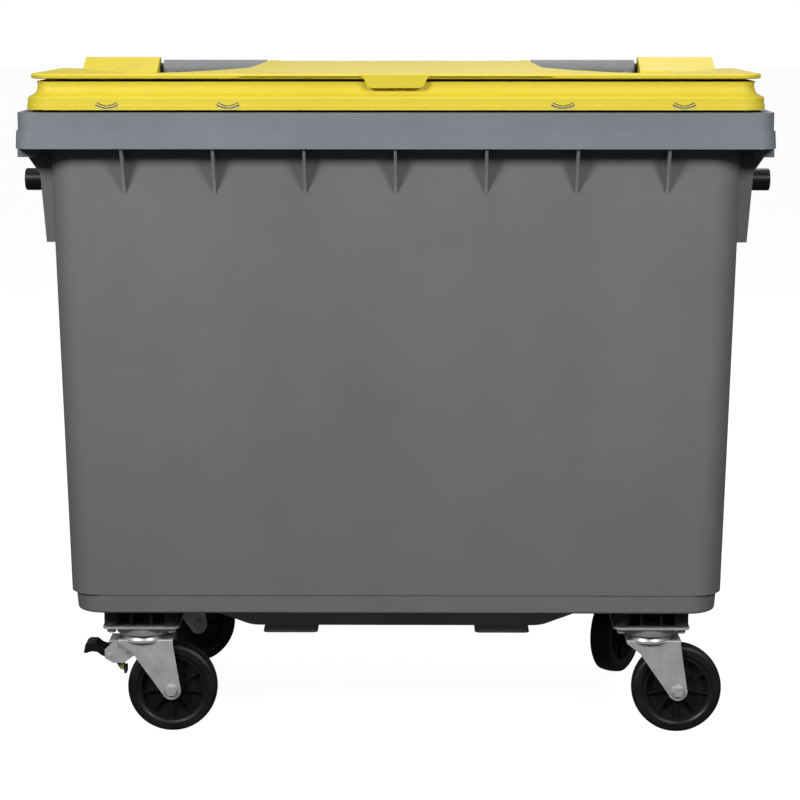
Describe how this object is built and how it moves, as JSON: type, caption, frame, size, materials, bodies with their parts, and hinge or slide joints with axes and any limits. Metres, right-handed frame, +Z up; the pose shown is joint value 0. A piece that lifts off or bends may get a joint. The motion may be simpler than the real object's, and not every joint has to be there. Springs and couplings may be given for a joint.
{
  "type": "wheelie bin",
  "caption": "Large wheeled refuse container: grey tapered tub with ribbed rim, yellow flat hinged lid, lifting trunnions and swivel casters with foot brakes.",
  "frame": {"origin": "on the floor under the middle of the overall box", "axes": "+X to the right along the rim, -Y to the front, +Z up"},
  "size_m": [1.35, 0.7759, 1.181],
  "materials": {
    "body_plastic": "moulded polyethylene, satin",
    "lid_plastic": "moulded polyethylene, satin",
    "black_plastic": "satin",
    "zinc_steel": "zinc plated",
    "ball_steel": "polished",
    "tyre_rubber": "solid rubber",
    "black_rubber": "matt",
    "cage_nylon": "satin",
    "cam_plastic": "satin"
  },
  "bodies": {
    "container": {"container_body": "body_plastic", "trunnion_left": "black_plastic", "trunnion_right": "black_plastic", "drain_plug": "black_plastic", "drain_nut": "black_plastic", "handle_left": "body_plastic", "handle_right": "body_plastic", "hinge_pin_left": "black_plastic", "hinge_pin_right": "black_plastic", "caster_bolts": "zinc_steel", "front_left_mounting_plate": "zinc_steel", "front_left_kingpin": "zinc_steel", "front_left_swivel_balls": "ball_steel", "front_right_mounting_plate": "zinc_steel", "front_right_kingpin": "zinc_steel", "front_right_swivel_balls": "ball_steel", "rear_left_mounting_plate": "zinc_steel", "rear_left_kingpin": "zinc_steel", "rear_left_swivel_balls": "ball_steel", "rear_right_mounting_plate": "zinc_steel", "rear_right_kingpin": "zinc_steel", "rear_right_swivel_balls": "ball_steel"},
    "lid": {"lid": "lid_plastic", "lid_buffers": "black_rubber"},
    "front_left_caster": {"front_left_fork": "zinc_steel", "front_left_axle_bolt": "zinc_steel", "front_left_axle_bush": "zinc_steel", "front_left_brake_bracket": "zinc_steel", "front_left_brake_rivets": "zinc_steel"},
    "front_left_wheel": {"front_left_wheel_core": "black_plastic", "front_left_tyre": "tyre_rubber", "front_left_bearing_cage": "cage_nylon"},
    "front_left_brake": {"front_left_brake_pedal": "black_plastic", "front_left_brake_cam": "cam_plastic", "front_left_brake_pad": "black_rubber"},
    "front_right_caster": {"front_right_fork": "zinc_steel", "front_right_axle_bolt": "zinc_steel", "front_right_axle_bush": "zinc_steel"},
    "front_right_wheel": {"front_right_wheel_core": "black_plastic", "front_right_tyre": "tyre_rubber", "front_right_bearing_cage": "cage_nylon"},
    "rear_left_caster": {"rear_left_fork": "zinc_steel", "rear_left_axle_bolt": "zinc_steel", "rear_left_axle_bush": "zinc_steel"},
    "rear_left_wheel": {"rear_left_wheel_core": "black_plastic", "rear_left_tyre": "tyre_rubber", "rear_left_bearing_cage": "cage_nylon"},
    "rear_right_caster": {"rear_right_fork": "zinc_steel", "rear_right_axle_bolt": "zinc_steel", "rear_right_axle_bush": "zinc_steel", "rear_right_brake_bracket": "zinc_steel", "rear_right_brake_rivets": "zinc_steel"},
    "rear_right_wheel": {"rear_right_wheel_core": "black_plastic", "rear_right_tyre": "tyre_rubber", "rear_right_bearing_cage": "cage_nylon"},
    "rear_right_brake": {"rear_right_brake_pedal": "black_plastic", "rear_right_brake_cam": "cam_plastic", "rear_right_brake_pad": "black_rubber"}
  },
  "joints": [
    {"name": "lid_hinge", "type": "hinge", "parent": "container", "child": "lid", "pos_m": [0, 0.366, 1.159], "axis": [-1, 0, 0], "range_deg": [0, 270]},
    {"name": "front_left_swivel", "type": "hinge", "parent": "container", "child": "front_left_caster", "pos_m": [-0.45, -0.215, 0.18], "axis": [0, 0, 1], "continuous": true},
    {"name": "front_left_roll", "type": "hinge", "parent": "front_left_caster", "child": "front_left_wheel", "pos_m": [-0.4, -0.215, 0.08], "axis": [0, 1, 0], "continuous": true},
    {"name": "front_left_brake_pedal", "type": "hinge", "parent": "front_left_caster", "child": "front_left_brake", "pos_m": [-0.509, -0.215, 0.143], "axis": [0, -1, 0], "range_deg": [0, 13.5]},
    {"name": "front_right_swivel", "type": "hinge", "parent": "container", "child": "front_right_caster", "pos_m": [0.45, -0.215, 0.18], "axis": [0, 0, 1], "continuous": true},
    {"name": "front_right_roll", "type": "hinge", "parent": "front_right_caster", "child": "front_right_wheel", "pos_m": [0.5, -0.215, 0.08], "axis": [0, 1, 0], "continuous": true},
    {"name": "rear_left_swivel", "type": "hinge", "parent": "container", "child": "rear_left_caster", "pos_m": [-0.45, 0.203, 0.18], "axis": [0, 0, 1], "continuous": true},
    {"name": "rear_left_roll", "type": "hinge", "parent": "rear_left_caster", "child": "rear_left_wheel", "pos_m": [-0.40302, 0.2201, 0.08], "axis": [-0.342, 0.9397, 0], "continuous": true},
    {"name": "rear_right_swivel", "type": "hinge", "parent": "container", "child": "rear_right_caster", "pos_m": [0.45, 0.203, 0.18], "axis": [0, 0, 1], "continuous": true},
    {"name": "rear_right_roll", "type": "hinge", "parent": "rear_right_caster", "child": "rear_right_wheel", "pos_m": [0.425, 0.1597, 0.08], "axis": [0.866, -0.5, 0], "continuous": true},
    {"name": "rear_right_brake_pedal", "type": "hinge", "parent": "rear_right_caster", "child": "rear_right_brake", "pos_m": [0.4795, 0.2541, 0.143], "axis": [-0.866, 0.5, 0], "range_deg": [0, 13.5]}
  ]
}
